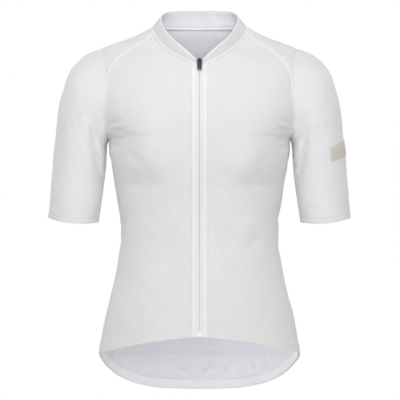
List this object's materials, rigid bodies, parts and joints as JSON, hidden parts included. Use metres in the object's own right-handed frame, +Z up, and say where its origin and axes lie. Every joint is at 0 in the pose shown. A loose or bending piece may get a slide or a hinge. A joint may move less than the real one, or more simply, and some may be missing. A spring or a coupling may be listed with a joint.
{
  "type": "short-sleeved cycling jersey",
  "caption": "White short-sleeved cycling jersey, filled out and empty: low collar, full zip with a black pull, side panels, back pockets and a dropped tail hem",
  "frame": {"origin": "midway between the neck points, on the shoulder line, where the jersey is held", "axes": "+Z up along the body, the zip and front face -Y, +X towards the wearer's left sleeve"},
  "size_m": [0.4974, 0.2301, 0.6413],
  "materials": {
    "knit": "matt fine heathered knit, white",
    "smooth_cloth": "smooth stretch cloth with a faint sheen, slightly lilac white",
    "facing": "matt elastic facing, pale lilac grey",
    "zip_strip": "smooth coated tape over the teeth, white",
    "zip_box": "moulded white plastic",
    "slider_black": "satin black",
    "label": "matt beige woven tab, bare"
  },
  "bodies": {
    "garment": {"front_left": "knit", "front_right": "knit", "side_left": "knit", "side_right": "knit", "back": "knit", "shoulder_left": "smooth_cloth", "shoulder_right": "smooth_cloth", "sleeve_left": "smooth_cloth", "sleeve_right": "smooth_cloth", "cuff_left": "smooth_cloth", "cuff_right": "smooth_cloth", "collar": "smooth_cloth", "placket_left": "smooth_cloth", "placket_right": "smooth_cloth", "zip_strip_left": "zip_strip", "zip_strip_right": "zip_strip", "zip_stop": "zip_box", "zip_slider": "slider_black", "pocket_panel": "knit", "pocket_band": "smooth_cloth", "hem_gripper": "facing", "sleeve_label": "label"},
    "pull_tab": {"zip_pull_tab": "slider_black"}
  },
  "joints": [
    {"name": "pull_tab_hinge", "type": "hinge", "parent": "garment", "child": "pull_tab", "pos_m": [0, -0.07512, -0.05542], "axis": [-1, 0, 0], "range_deg": [0, 150]}
  ]
}
